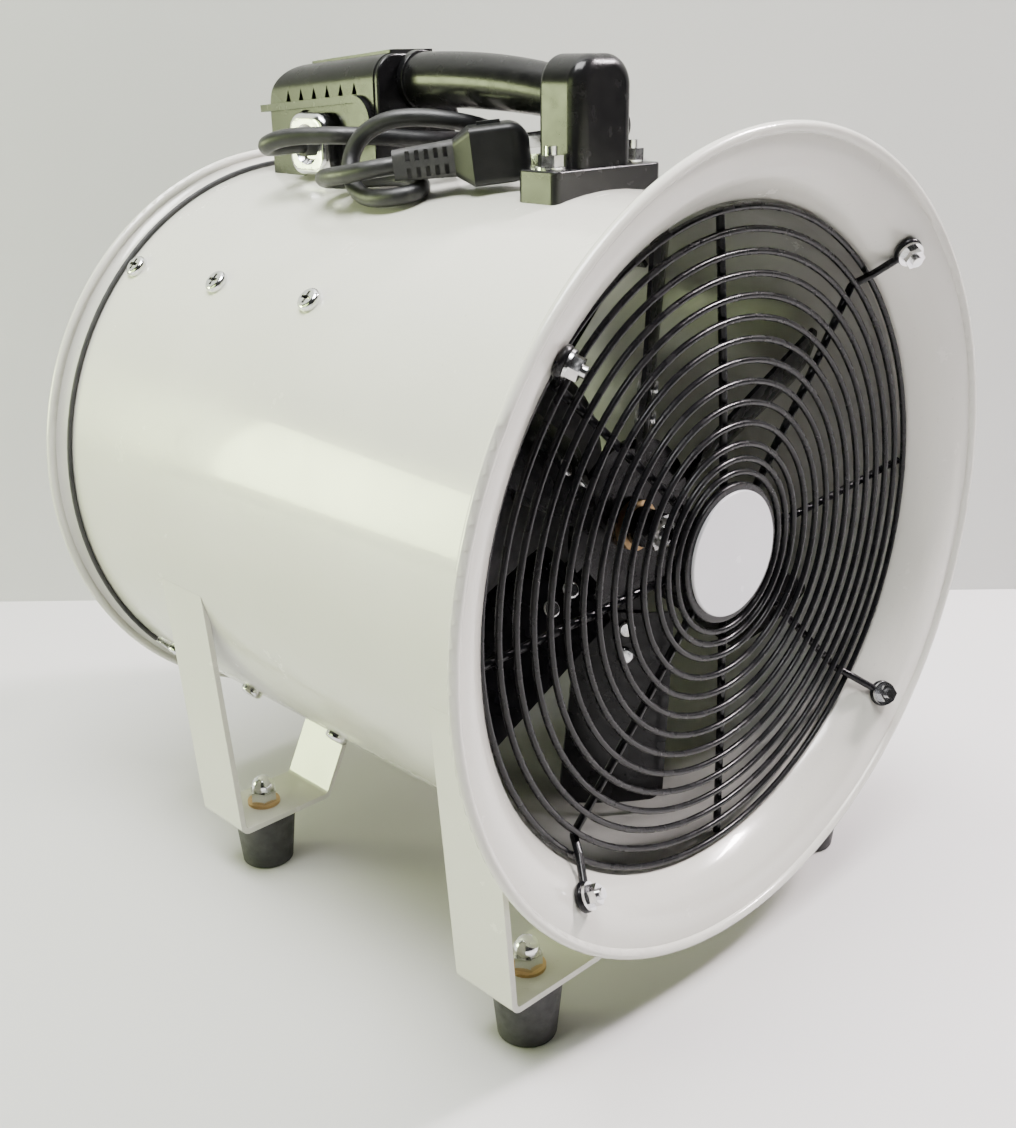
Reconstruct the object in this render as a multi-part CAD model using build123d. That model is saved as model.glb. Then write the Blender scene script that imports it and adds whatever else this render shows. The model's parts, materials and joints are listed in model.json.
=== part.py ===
from build123d import *
from math import atan, cos, degrees, pi, radians, sin, sqrt, tan
import os

# Portable axial blower with a bell mouth, wire guards, a carrying handle and four rubber feet.
# Millimetres. +Z is up, the fan axis runs along Y, and air is drawn in at the bell mouth, on -Y.
# Everything is drawn about the fan axis first, then raised by AXIS_HEIGHT to stand on the floor.

# Casing
AXIS_HEIGHT = 210.0        # floor to fan axis
LENGTH = 351.0             # front of the bell mouth to back of the rear collar
SHEET = 1.5                # drum, bell mouth and collar sheet
DRUM_R = 155.0             # outside of the drum
BELL_R = 187.5             # outside of the bell mouth's rolled edge
BELL_DEPTH = 35.0          # axial depth of the flare
BEAD_R = 2.5               # rolled edges
COLLAR_R = 163.5           # outside of the rear collar
COLLAR_DEPTH = 12.0
SEAL_R = 1.3               # rubber cord in the corner between drum and collar

# Guards
GUARD_R = 152.5            # outermost front ring, middle of the wire
GUARD_PITCH = 9.3          # ring to ring
GUARD_RING_COUNT = 12      # evenly spaced rings, followed by the two small ones
SMALL_RINGS = (43.5, 37.5)
GUARD_DOME = 3.0           # how far the middle stands in front of the outermost ring
GUARD_SETBACK = 23.0       # front of the bell mouth to the outermost ring
RING_WIRE_R = 1.5
SPOKE_WIRE_R = 1.9
SPOKE_DROP = RING_WIRE_R + SPOKE_WIRE_R + 0.05
GUARD_TWIST = -3.5         # the front guard sits a few degrees round from upright
GUARD_BOLT_R = 167.0       # circle of the fixing bolts, on the bell
EYE_R = 5.0                # wire eye round each fixing bolt
REAR_GUARD_R = 148.0
PLATE_R = 33.0             # disc in the middle of the front guard
BADGE_R = 29.5

# Motor
MOTOR_R = 66.0
MOTOR_FRONT_Y, MOTOR_BACK_Y = -22.5, 137.5
COVER_DEPTH = 10.5
SHAFT_R = 7.0
BEARING_R = 16.0
ARM_ANGLES = (45, 135, 225, 315)       # degrees round from the top
ARM_SCREW_YS = (1.5, 76.5, 151.5)      # a row of three along each arm
ARM_END = 9.0                          # metal beyond the last screw
ARM_SHEET = 2.5

# Impeller
IMPELLER_Y = -98.5         # middle of the blades
BLADE_COUNT = 6
BLADE_PHASE = 5.5          # first blade, degrees round from the top
BLADE_TIP_R, BLADE_ROOT_R = 146.0, 44.0
BLADE_TIP_CHORD, BLADE_ROOT_CHORD = 55.0, 48.0
BLADE_TIP_PITCH, BLADE_ROOT_PITCH = 33.0, 38.0
BLADE_CAMBER_R = 110.0
BLADE_SHEET = 2.0
BLADE_RIVET_RS = (52.0, 66.0)
HUB_R = 42.0
BOSS_R = 9.5

# Feet
FOOT_YS = {"front": -136.5, "rear": 69.5}
FOOT_STRAP_WIDTH = 36.0
FOOT_STRAP = 3.0
FOOT_PLATE_Z = -175.0      # top of the foot plate, from the axis
FOOT_OUTER_X, FOOT_INNER_X = 138.0, 82.0
FOOT_OUTER_LEAN, FOOT_INNER_LEAN = 4.6, 25.9
FOOT_STUD_X = 113.0
RUBBER_TOP_R, RUBBER_BOTTOM_R = 17.0, 13.8

# Handle
GRIP_SECTIONS = (           # along the axis, height and radius, from the box to the post
    (45.5, 200.6, 13.2), (8.0, 200.6, 13.0), (-25.0, 198.7, 12.4), (-53.0, 195.3, 11.5))
BOX_Y0, BOX_Y1 = 52.5, 140.0
BOX_HALF_WIDTH = 27.0
BOX_WALL = 4.0
BOX_FRONT_Z, BOX_SLOPE = 213.6, 0.080  # top of the box at its front end, and its fall to the back
BOX_EDGE_R, BOX_BACK_R = 13.0, 23.0    # rounding of the long top edges and of the back
RAIL_BACK_Z = 185.8                    # rail round the box, at its back end
RAIL_THICKNESS, RAIL_REACH = 3.6, 3.0
NOTCH_COUNT, NOTCH_PITCH = 6, 11.2
POCKET_DEPTH = 2.5                     # pocket in the side wall for the gland
END_CAP_Y0 = 49.5                      # front face of the cap on the box's front end
END_CAP_Z = 178.0
SLEEVE_R, SLEEVE_Y0 = 14.2, 45.5       # short sleeve round the back end of the grip
SPIGOT_R = 8.0
POST_Y0, POST_Y1 = -78.0, -53.0
POST_HALF_WIDTH = 19.0
POST_TOP_Z = 212.7
BASE_Y0, BASE_Y1 = -80.5, -56.0
BASE_HALF_WIDTH = 35.5
BASE_TOP_Z = 165.0
HANDLE_BOLT_X, HANDLE_BOLT_Y = 27.0, -69.0
BUTTON_Y, BUTTON_Z = -65.0, 181.5
BUTTON_R = 6.4

# Cord, gland and plug
CORD_D = 8.5
GLAND_Y, GLAND_Z = 98.0, 169.5
GLAND_SIZE, GLAND_DEPTH = 31.0, 11.5
GLAND_FACE_X = -38.5                   # where the cord leaves the rubber bush
PLUG_TIP = (-53.0, 7.5, 164.5)         # thin end of the plug's boot
PLUG_FACE = (-6.0, -35.0, 171.5)       # pin face
BOOT_LENGTH = 28.5
BOOT_SLOTS = 5
PLUG_WIDTH, PLUG_HEIGHT = 33.0, 26.0
PIN_WIDTH, PIN_THICKNESS, PIN_LENGTH = 6.3, 1.6, 17.0
PIN_PLACES = ((-7.0, -3.5, 60), (7.0, -3.5, -60), (0.0, 6.0, 90))  # across, down and turn of each

# Clearances
FIT = 0.05                 # running clearance on the shaft

FRONT_Y = -LENGTH / 2
REAR_Y = LENGTH / 2
THROAT_Y = FRONT_Y + BELL_DEPTH
JOINT_Y = REAR_Y - COLLAR_DEPTH
SEAL_Y = JOINT_Y - SEAL_R - 0.05
GUARD_Y = FRONT_Y + GUARD_SETBACK
REAR_GUARD_Y = REAR_Y - 7.5
DRUM_INNER_R = DRUM_R - SHEET
UP = (Align.CENTER, Align.CENTER, Align.MIN)

nodes = {}


# Helpers

def rod(radius, y0, y1, x=0.0, z=0.0):
    """A cylinder along Y."""
    return Pos(x, (y0 + y1) / 2, z) * Cylinder(radius, y1 - y0, rotation=(90, 0, 0))


def tube(outer, inner, y0, y1):
    """A round tube along the fan axis."""
    return rod(outer, y0, y1) - rod(inner, y0 - 1, y1 + 1)


def block(x0, x1, y0, y1, z0, z1):
    """A box between two corners."""
    return Pos((x0 + x1) / 2, (y0 + y1) / 2, (z0 + z1) / 2) * Box(x1 - x0, y1 - y0, z1 - z0)


def across(radius, x0, x1, y, z):
    """A cylinder along X."""
    return Pos((x0 + x1) / 2, y, z) * Cylinder(radius, x1 - x0, rotation=(0, 90, 0))


def wire_ring(radius, wire_r, y):
    return Pos(0, y, 0) * Torus(radius, wire_r, rotation=(90, 0, 0))


def around(angle, shape):
    """Turn a shape drawn at the top of the fan round to a clock angle, towards +X."""
    return Rot(0, angle, 0) * shape


def clock(angle, radius, y):
    """A point at a clock angle, degrees round from the top towards +X."""
    return Vector(radius * sin(radians(angle)), y, radius * cos(radians(angle)))


def round_wire(points, radii, wire_r):
    """A round wire through points, with a bend of the given radius at each inner one."""
    path = FilletPolyline(*points, radius=radii)
    profile = Plane(origin=path @ 0, z_dir=path % 0) * Circle(wire_r)
    return sweep(profile, path=path)


def hexagon(across_flats, height):
    return extrude(RegularPolygon(across_flats / 2, 6, major_radius=False), height)


def pan_screw(head_r, head_height, shank_r, length):
    """A cross-recess pan-head screw, head up, with its seat at Z = 0."""
    head = Cylinder(head_r, head_height, align=UP)
    head = fillet(head.edges().group_by(Axis.Z)[-1], head_height * 0.6)
    slot = Pos(0, 0, head_height) * Box(head_r * 1.1, head_r * 0.28, head_height)
    shank = Pos(0, 0, -length) * Cylinder(shank_r, length + 0.2, align=UP)
    return head - slot - Rot(0, 0, 90) * slot + shank


def acorn_nut(across_flats, height, bore_r, bore_depth):
    """A domed cap nut standing on Z = 0, closed at the top."""
    dome_r = across_flats * 0.46
    shoulder = height - dome_r
    slant = dome_r * sin(radians(45))
    cap = ThreePointArc((dome_r, shoulder), (slant, shoulder + slant), (0, height))
    side = Polyline((0, height), (0, 0), (dome_r, 0), (dome_r, shoulder))
    dome = revolve(Plane.XZ * make_face(cap + side), Axis.Z, 360)
    return hexagon(across_flats, height * 0.45) + dome - Cylinder(bore_r, bore_depth, align=UP)


def washer(outer, inner, thickness):
    return Cylinder(outer, thickness, align=UP) - Cylinder(inner, thickness * 3)


# Casing

def flare(lip_r, lip_y, y0, inner_r, outer_r):
    """Quarter-ellipse flare of sheet from a tube at y0 out to a lip."""
    reach = lip_y - y0
    skin = SHEET if reach > 0 else -SHEET
    start, turn = (180, -90) if reach > 0 else (180, 90)
    inner = EllipticalCenterArc((lip_r, y0), lip_r - inner_r, abs(reach),
                                start_angle=start, arc_size=turn)
    outer = EllipticalCenterArc((lip_r, y0), lip_r - outer_r, abs(reach - skin),
                                start_angle=start, arc_size=turn)
    outline = inner + outer + Line(inner @ 0, outer @ 0) + Line(inner @ 1, outer @ 1)
    return revolve(make_face(outline), Axis.Y, 360)


def bell_seat():
    """Depth and lean of the bell's inner face at the fixing bolts."""
    lip_r = BELL_R - BEAD_R
    across_r = lip_r - DRUM_INNER_R
    depth = BELL_DEPTH - BEAD_R
    inset = lip_r - GUARD_BOLT_R
    height = depth * sqrt(1 - (inset / across_r) ** 2)
    lean = degrees(atan((depth / across_r) ** 2 * inset / height))
    return THROAT_Y - height, lean


def on_bell(shape):
    """Four copies of a shape drawn on Z, standing square on the bell at the fixing bolts."""
    y, lean = bell_seat()
    seat = Pos(0, y, GUARD_BOLT_R) * Rot(90 + lean, 0, 0) * shape
    return Compound([around(angle + GUARD_TWIST, seat) for angle in ARM_ANGLES])


def on_drum(shape, height):
    """Copies of a shape drawn on Z at every arm screw."""
    copies = []
    for angle in ARM_ANGLES:
        for y in ARM_SCREW_YS:
            copies.append(around(angle, Pos(0, y, height) * shape))
    return Compound(copies)


def handle_bolt_places():
    """Where the handle is bolted to the drum: two at the post and two in the box."""
    front = [(side * HANDLE_BOLT_X, HANDLE_BOLT_Y) for side in (-1, 1)]
    back = [(15.0, BOX_Y0 + 9), (15.0, BOX_Y1 - 9)]
    return front, back


def drum_shell():
    """Rolled drum, from the throat of the bell mouth to the rear collar."""
    shell = tube(DRUM_R, DRUM_INNER_R, THROAT_Y, JOINT_Y)
    for hole in on_drum(Cylinder(2.6, 12), DRUM_R):
        shell -= hole
    front, back = handle_bolt_places()
    for x, y in front + back:
        shell -= Pos(x, y, DRUM_R) * Cylinder(3.05, 30)
    return shell - Pos(0, 96.5, DRUM_R) * Cylinder(6.0, 12)


def inlet_bell():
    """Spun bell mouth with a rolled bead round its edge."""
    bell = flare(BELL_R - BEAD_R, FRONT_Y + BEAD_R, THROAT_Y, DRUM_INNER_R, DRUM_R)
    bell += wire_ring(BELL_R - BEAD_R, BEAD_R, FRONT_Y + BEAD_R)
    for hole in on_bell(Cylinder(2.55, 12)):
        bell -= hole
    return bell


def rear_collar():
    """Flared collar round the back of the drum."""
    lip_r, bead_y = COLLAR_R - BEAD_R, REAR_Y - BEAD_R
    return flare(lip_r, bead_y, JOINT_Y, DRUM_INNER_R, DRUM_R) + wire_ring(lip_r, BEAD_R, bead_y)


def collar_seal():
    """Rubber cord laid in the corner between drum and collar, open for a few degrees low down."""
    ring = wire_ring(DRUM_R + SEAL_R + 0.05, SEAL_R, SEAL_Y)
    return ring - around(226, Pos(0, SEAL_Y, DRUM_R) * Box(14, 12, 20))


def seal_clip():
    """Small plated clip at the ends of the seal."""
    clip = Pos(0, SEAL_Y, DRUM_R + 1.35) * Box(12, 2.4, 2.4)
    return around(226, fillet(clip.edges().group_by(Axis.Z)[-1], 0.8))


# Guards

def ring_radii(outer):
    """Evenly spaced rings from the outermost one inwards, then the small ones."""
    even = [outer - k * GUARD_PITCH for k in range(GUARD_RING_COUNT)]
    return [r for r in even if r > SMALL_RINGS[0] + 4] + list(SMALL_RINGS)


def dome_at(radius):
    """How far the guard stands out from the plane of its outermost ring."""
    return GUARD_DOME * (1 - (radius / GUARD_R) ** 2)


def guard_rings(y, outward, outer):
    return Compound([wire_ring(r, RING_WIRE_R, y + outward * dome_at(r)) for r in ring_radii(outer)])


def behind_rings(y, outward, radius):
    """Axial place of a spoke that runs behind the rings at a radius."""
    return y + outward * (dome_at(radius) - SPOKE_DROP)


def straight_spoke(y, outward, angle, end_r):
    """Radial wire behind the rings, following the dome."""
    points = [clock(angle, r, behind_rings(y, outward, r)) for r in (12, 90, end_r)]
    return round_wire(points, 60, SPOKE_WIRE_R)


def eyed_spoke(angle):
    """Radial wire that steps forward between the last two rings and ends in an eye on the bell."""
    seat_y, lean = bell_seat()
    lift = SPOKE_WIRE_R + 0.15
    eye_y = seat_y - lift * cos(radians(lean))
    eye_r = GUARD_BOLT_R - lift * sin(radians(lean))
    near_y = eye_y + EYE_R * sin(radians(lean))
    near_r = eye_r - EYE_R * cos(radians(lean))
    points = [clock(angle, r, behind_rings(GUARD_Y, -1, r)) for r in (12, 90)]
    points.append(clock(angle, GUARD_R - 8.1, GUARD_Y + SPOKE_DROP + 0.2))
    points.append(clock(angle, GUARD_R - 1.5, GUARD_Y - SPOKE_DROP - 0.45))
    points.append(clock(angle, near_r, near_y))
    wire = round_wire(points, [60, 3, 3], SPOKE_WIRE_R)
    ring = Torus(EYE_R, SPOKE_WIRE_R)
    return wire + around(angle, Pos(0, eye_y, eye_r) * Rot(90 + lean, 0, 0) * ring)


def front_guard_spokes():
    end_r = GUARD_R + 0.4
    spokes = [straight_spoke(GUARD_Y, -1, angle + GUARD_TWIST, end_r) for angle in (0, 90, 180, 270)]
    spokes += [eyed_spoke(angle + GUARD_TWIST) for angle in ARM_ANGLES]
    return Compound(spokes)


def rear_guard_spokes():
    return Compound([straight_spoke(REAR_GUARD_Y, 1, 45 * k, REAR_GUARD_R + 0.5) for k in range(8)])


def rear_guard_clips():
    """Small saddles that hold the rear guard's outermost ring to the drum's open end."""
    clips = []
    for angle in (22.5, 112.5, 202.5, 292.5):
        saddle = block(-6, 6, REAR_GUARD_Y - 4.5, REAR_GUARD_Y + 3.0, REAR_GUARD_R - 3.2, 152.8)
        groove = block(-7, 7, REAR_GUARD_Y - 1.65, REAR_GUARD_Y + 5, REAR_GUARD_R - 5, REAR_GUARD_R + 1.7)
        clips.append(around(angle, saddle - groove))
    return Compound(clips)


def guard_disc(radius, front, thickness, edge):
    """A flat disc with its front edge eased."""
    disc = rod(radius, front, front + thickness)
    return fillet(disc.edges().group_by(Axis.Y)[0], edge)


def guard_centre_plate():
    front = GUARD_Y - GUARD_DOME - RING_WIRE_R
    return guard_disc(PLATE_R, front, 2.9, 1.0)


def guard_badge():
    return guard_disc(BADGE_R, GUARD_Y - GUARD_DOME - RING_WIRE_R - 1.5, 1.5, 0.6)


def guard_bolts():
    """Bolts pushed through the bell from behind."""
    head = Pos(0, 0, -SHEET - 0.5) * Rot(180, 0, 0) * fillet(
        Cylinder(4.6, 3.2, align=UP).edges().group_by(Axis.Z)[-1], 1.2)
    shank = Pos(0, 0, -SHEET - 0.6) * Cylinder(2.45, 13.6, align=UP)
    return on_bell(head + shank)


# Motor

def motor_housing():
    """Steel can with shallow ribs and a flat pad under each arm."""
    y0, y1 = MOTOR_FRONT_Y + COVER_DEPTH, MOTOR_BACK_Y - COVER_DEPTH
    can = tube(MOTOR_R, MOTOR_R - 4, y0, y1)
    for k in range(24):
        angle = 15 * k + 7.5
        if min(abs(angle - arm) for arm in ARM_ANGLES) > 15:
            can += around(angle, block(-1.2, 1.2, y0 + 6, y1 - 6, MOTOR_R - 1, MOTOR_R + 2))
    for angle in ARM_ANGLES:
        can += around(angle, block(-11, 11, y0 + 12, y1 - 6, MOTOR_R - 4, MOTOR_R + 3))
        for y in (y0 + 30, y1 - 24):
            can -= around(angle, Pos(0, y, MOTOR_R) * Cylinder(2.05, 30))
    return can - rod(MOTOR_R - 4, y0 - 1, y1 + 1)


def motor_cover(inner_y, outer_y):
    """Domed end cover with a spigot inside the can and a seat for the bearing."""
    side = 1 if outer_y > inner_y else -1
    low, high = sorted((inner_y, outer_y))
    disc = rod(MOTOR_R, low, high)
    rim = disc.edges().group_by(Axis.Y)[-1 if side > 0 else 0]
    disc = fillet(rim, 7)
    spigot = rod(MOTOR_R - 4.05, *sorted((inner_y, inner_y - side * 6)))
    hollow = rod(MOTOR_R - 9, *sorted((inner_y - side * 7, outer_y - side * 4)))
    boss = rod(BEARING_R + 4.5, *sorted((inner_y - side * 6, outer_y)))
    cover = (disc + spigot - hollow) + boss
    seat = rod(BEARING_R, *sorted((inner_y - side * 8, outer_y - side * 3.5)))
    return cover - seat - rod(SHAFT_R + 1.2, low - 20, high + 20)


def bearing(y0):
    """Deep-groove bearing: outer ring, shields and inner ring in one piece."""
    ring = tube(BEARING_R - 0.01, SHAFT_R + FIT, y0, y0 + 9)
    groove_front = tube(12.6, 9.9, y0 - 1, y0 + 0.7)
    groove_back = tube(12.6, 9.9, y0 + 8.3, y0 + 10)
    return ring - groove_front - groove_back


def shaft_bearings():
    return Compound([bearing(MOTOR_FRONT_Y + 3.6), bearing(MOTOR_BACK_Y - 12.6)])


def stator():
    """Laminated ring with a winding head at each end."""
    ring = tube(MOTOR_R - 4.1, 38.0, 14, 104)
    return ring + tube(57.0, 42.0, 2, 14.5) + tube(57.0, 42.0, 103.5, 116)


def rotor():
    body = tube(37.2, SHAFT_R, 14, 104)
    return body + tube(34.0, 22.0, 8, 14.5) + tube(34.0, 22.0, 103.5, 110)


def motor_shaft():
    """Shaft from the fan nut to the back bearing, stepped down for the nut's thread."""
    return rod(SHAFT_R, -110, MOTOR_BACK_Y - 3.6) + rod(5.0, -118.5, -109.9)


def motor_arm():
    """Folded plate from motor to drum: a web with an opening and a flange at each end."""
    y0, y1 = ARM_SCREW_YS[0] - ARM_END, ARM_SCREW_YS[-1] + ARM_END
    foot_z, head_z = MOTOR_R + 3, DRUM_INNER_R - 0.5
    web = block(-9, -9 + ARM_SHEET, y0, y1, foot_z, head_z)
    web -= block(-20, 20, y0 + 30, y1 - 40, foot_z + 18, head_z - 18)
    foot = block(-9, 9, y0 + 8, y1 - 40, foot_z, foot_z + ARM_SHEET)
    head = block(-9, 9, y0, y1, head_z - ARM_SHEET, head_z)
    arm = web + foot + head
    for y in ARM_SCREW_YS:
        arm -= Pos(0, y, head_z) * Cylinder(2.5, 20)
    for y in (MOTOR_FRONT_Y + COVER_DEPTH + 30, MOTOR_BACK_Y - COVER_DEPTH - 24):
        arm -= Pos(0, y, foot_z) * Cylinder(2.3, 12)
    return arm


def motor_arms():
    return Compound([around(angle, motor_arm()) for angle in ARM_ANGLES])


def arm_screws():
    """Pan-head screws through the drum into each arm."""
    return on_drum(pan_screw(6.0, 3.4, 2.4, 13), DRUM_R + 0.02)


def arm_nuts():
    nut = hexagon(8, 3.5) - Cylinder(2.45, 12)
    return on_drum(Pos(0, 0, -3.5) * nut, DRUM_INNER_R - 0.5 - ARM_SHEET)


def motor_bolts():
    """Screws that hold the arms down on the motor's pads."""
    screw = pan_screw(4.0, 2.6, 2.0, 9)
    bolts = []
    for angle in ARM_ANGLES:
        for y in (MOTOR_FRONT_Y + COVER_DEPTH + 30, MOTOR_BACK_Y - COVER_DEPTH - 24):
            bolts.append(around(angle, Pos(0, y, MOTOR_R + 3 + ARM_SHEET) * screw))
    return Compound(bolts)


def motor_lead():
    """Cable from the motor up through the drum into the handle box."""
    return Pos(0, 96.5, MOTOR_R + 0.1) * Cylinder(3.5, 160 - MOTOR_R, align=UP)


def lead_grommet():
    """Rubber grommet in the drum."""
    sleeve = Pos(0, 96.5, DRUM_R - 4.5) * Cylinder(5.95, 8, align=UP)
    lips = Pos(0, 96.5, DRUM_R + 0.3) * Cylinder(8.5, 2.5, align=UP)
    lips += Pos(0, 96.5, DRUM_INNER_R - 3.0) * Cylinder(8.5, 2.5, align=UP)
    return sleeve + lips - Pos(0, 96.5, DRUM_R) * Cylinder(3.6, 40)


# Impeller

def blade_section(radius, pitch, chord):
    """Thin curved section, hollow towards the back, square to the blade's span."""
    plane = Plane(origin=(0, IMPELLER_Y, radius), x_dir=(cos(radians(pitch)), sin(radians(pitch)), 0),
                  z_dir=(0, 0, 1))
    half, sag = chord / 2, chord ** 2 / (8 * BLADE_CAMBER_R)
    front = ThreePointArc((-half, -1), (0, -sag - BLADE_SHEET / 2), (half, -1))
    back = ThreePointArc((-half, 1), (0, -sag + BLADE_SHEET / 2), (half, 1))
    outline = front + back + Line(front @ 0, back @ 0) + Line(front @ 1, back @ 1)
    return plane * make_face(outline)


def impeller_blade():
    """One paddle at the top of the hub with rounded corners and rivet holes."""
    tip = blade_section(BLADE_TIP_R, BLADE_TIP_PITCH, BLADE_TIP_CHORD)
    root = blade_section(BLADE_ROOT_R, BLADE_ROOT_PITCH, BLADE_ROOT_CHORD)
    sheet = loft([root, tip])
    middle = (BLADE_TIP_R + BLADE_ROOT_R) / 2
    outline = RectangleRounded(BLADE_TIP_CHORD + 0.5, BLADE_TIP_R - BLADE_ROOT_R, 8)
    cutter = extrude(Plane(origin=(0, 0, 0), x_dir=(1, 0, 0), z_dir=(0, -1, 0)) * outline, 40, both=True)
    blade = sheet & (Pos(0, IMPELLER_Y, middle) * Rot(0, 0, BLADE_TIP_PITCH) * cutter)
    for radius in BLADE_RIVET_RS:
        blade -= rivet_place(radius) * Cylinder(2.5, 40)
    return blade


def rivet_place(radius):
    """Where a rivet sits on the middle line of the blade, with Z along the blade's normal."""
    return Pos(0, IMPELLER_Y, radius) * Rot(0, 0, BLADE_ROOT_PITCH - 1) * Rot(90, 0, 0)


def every_blade(shape):
    step = 360 / BLADE_COUNT
    return Compound([around(BLADE_PHASE + k * step, shape) for k in range(BLADE_COUNT)])


def impeller_blades():
    return every_blade(impeller_blade())


def blade_rivets():
    """Two domed rivets through each blade and its arm."""
    rivets = []
    sag = (BLADE_ROOT_CHORD + 2) ** 2 / (8 * BLADE_CAMBER_R)
    for radius in BLADE_RIVET_RS:
        dome = Cylinder(4.2, 1.8, align=UP)
        dome = fillet(dome.edges().group_by(Axis.Z)[-1], 1.2)
        front = Pos(0, 0, sag + BLADE_SHEET / 2 + 0.25) * dome
        back = Pos(0, 0, sag - BLADE_SHEET / 2 - 3.9) * Rot(180, 0, 0) * dome
        shank = Pos(0, 0, sag - 2) * Cylinder(2.5, 7)
        rivets.append(rivet_place(radius) * (front + back + shank))
    return every_blade(Compound(rivets))


def impeller_hub():
    """Pressed steel spider: a disc with an arm behind each blade, on a long boss."""
    hub = rod(HUB_R, IMPELLER_Y + 1, IMPELLER_Y + 4) + rod(BOSS_R, -110, -82)
    hub += rod(17, IMPELLER_Y + 3, -82)
    sag = (BLADE_ROOT_CHORD + 2) ** 2 / (8 * BLADE_CAMBER_R)
    offset = sag - BLADE_SHEET / 2 - 0.9 - 1.5
    for k in range(BLADE_COUNT):
        arm = Rot(0, 0, BLADE_ROOT_PITCH - 1) * Pos(0, -offset, 55) * Box(20, 3, 36)
        arm = Pos(0, IMPELLER_Y, 0) * arm
        for radius in BLADE_RIVET_RS:
            arm -= rivet_place(radius) * Cylinder(2.5, 40)
        hub += around(BLADE_PHASE + k * 360 / BLADE_COUNT, arm)
    return hub - rod(SHAFT_R, -130, -60)


def hub_bush():
    """Brass ring on the boss, in front of the disc."""
    return tube(12.5, BOSS_R, IMPELLER_Y - 3.5, IMPELLER_Y + 0.9)


def shaft_nut():
    """Cap nut on the end of the shaft."""
    nut = acorn_nut(16, 13.5, 5.0, 9.5)
    return Pos(0, -110.02, 0) * Rot(90, 0, 0) * nut


# Feet

def casing_envelope():
    """The casing as a solid, for cutting parts that sit on it."""
    drum = rod(DRUM_R + 0.02, FRONT_Y + 20, JOINT_Y)
    bell = flare(BELL_R - BEAD_R, FRONT_Y + BEAD_R, THROAT_Y, DRUM_INNER_R, DRUM_R + 0.02)
    return drum + bell


def strap_from(corner, lean, sideways, length):
    """End of a straight strap that leaves a corner upwards, leaning by an angle."""
    return (corner[0] + sideways * length * sin(radians(lean)), corner[1] + length * cos(radians(lean)))


def foot_bracket(side, middle_y):
    """Bent strap under the drum: outer leg, foot plate and short inner leg."""
    mid_z = FOOT_PLATE_Z - FOOT_STRAP / 2
    outer, inner = (FOOT_OUTER_X, mid_z), (FOOT_INNER_X, mid_z)
    outer_top = strap_from(outer, FOOT_OUTER_LEAN, 1, 148)
    inner_top = strap_from(inner, FOOT_INNER_LEAN, -1, 52)
    path = FilletPolyline(outer_top, outer, inner, inner_top, radius=4)
    band = Plane.XZ * trace(path, FOOT_STRAP)
    strap = Pos(0, middle_y, 0) * extrude(band, FOOT_STRAP_WIDTH / 2, both=True)
    strap -= Pos(FOOT_STUD_X, middle_y, FOOT_PLATE_Z) * Cylinder(4.3, 12)
    strap = strap - casing_envelope()
    strap = strap.solids().sort_by(SortBy.VOLUME)[-1]
    return strap if side > 0 else mirror(strap, Plane.YZ)


def at_feet(shape):
    """Copies of a shape, drawn about its stud with Z = 0 on top of the foot plate."""
    places = [(side * FOOT_STUD_X, y) for side in (-1, 1) for y in FOOT_YS.values()]
    return Compound([Pos(x, y, FOOT_PLATE_Z) * shape for x, y in places])


def rubber_foot():
    """Tapered rubber foot under the plate, hollow for its stud."""
    height = AXIS_HEIGHT + FOOT_PLATE_Z - FOOT_STRAP
    foot = Pos(0, 0, -FOOT_STRAP - height) * Cone(RUBBER_BOTTOM_R, RUBBER_TOP_R, height, align=UP)
    foot = fillet(foot.edges().group_by(Axis.Z)[0], 1.2)
    return foot - Pos(0, 0, -FOOT_STRAP - 20) * Cylinder(4.0, 40, align=UP)


def foot_washers():
    return at_feet(washer(8.9, 4.2, 1.6))


def foot_nuts():
    return at_feet(Pos(0, 0, 1.6) * acorn_nut(13, 14.5, 4.0, 9.0))


def foot_studs():
    return at_feet(Pos(0, 0, -FOOT_STRAP - 20) * Cylinder(3.98, 32, align=UP))


# Handle

def box_top(y):
    """Height of the box's sloping top at a place along the axis."""
    return BOX_FRONT_Z - BOX_SLOPE * (y - BOX_Y0)


def arch(half_width, top, radius, y):
    """Section of the box: straight sides and a top with rounded corners."""
    outline = Polyline((-half_width, 120), (half_width, 120), (half_width, top), (-half_width, top),
                       (-half_width, 120))
    face = make_face(outline)
    return Plane.XZ.offset(-y) * fillet(face.vertices().group_by(Axis.Y)[-1], radius)


def box_shape(inset):
    """The box as a solid, drawn in by an inset everywhere but at its foot."""
    half_width, radius = BOX_HALF_WIDTH - inset, BOX_EDGE_R - inset
    y0, y1 = BOX_Y0 + inset, BOX_Y1 - inset
    top0, top1 = box_top(y0) - inset, box_top(y1) - inset
    body = loft([arch(half_width, top0, radius, y0), arch(half_width, top1, radius, y1)])
    front = y0 - 1
    side = make_face(Polyline((front, 119), (front, top0 + BOX_SLOPE), (y1, top1), (y1, 119),
                              (front, 119)))
    side = fillet(side.vertices().sort_by_distance((y1, top1))[0], BOX_BACK_R - inset)
    return body & extrude_side(side, half_width + 1)


def extrude_side(face, half_width):
    """Turn a (Y, Z) outline into a solid across X."""
    return extrude(Plane.YZ * face, half_width, both=True)


def box_rail():
    """Thin rail round the box that turns down at its front end."""
    y = BOX_Y0 + 0.4 + RAIL_THICKNESS / 2
    front_z = RAIL_BACK_Z + BOX_SLOPE * (BOX_Y1 + 5 - y)
    path = FilletPolyline((BOX_Y1 + 5, RAIL_BACK_Z), (y, front_z), (y, END_CAP_Z), radius=11)
    return extrude_side(trace(path, RAIL_THICKNESS), BOX_HALF_WIDTH + RAIL_REACH)


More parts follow.
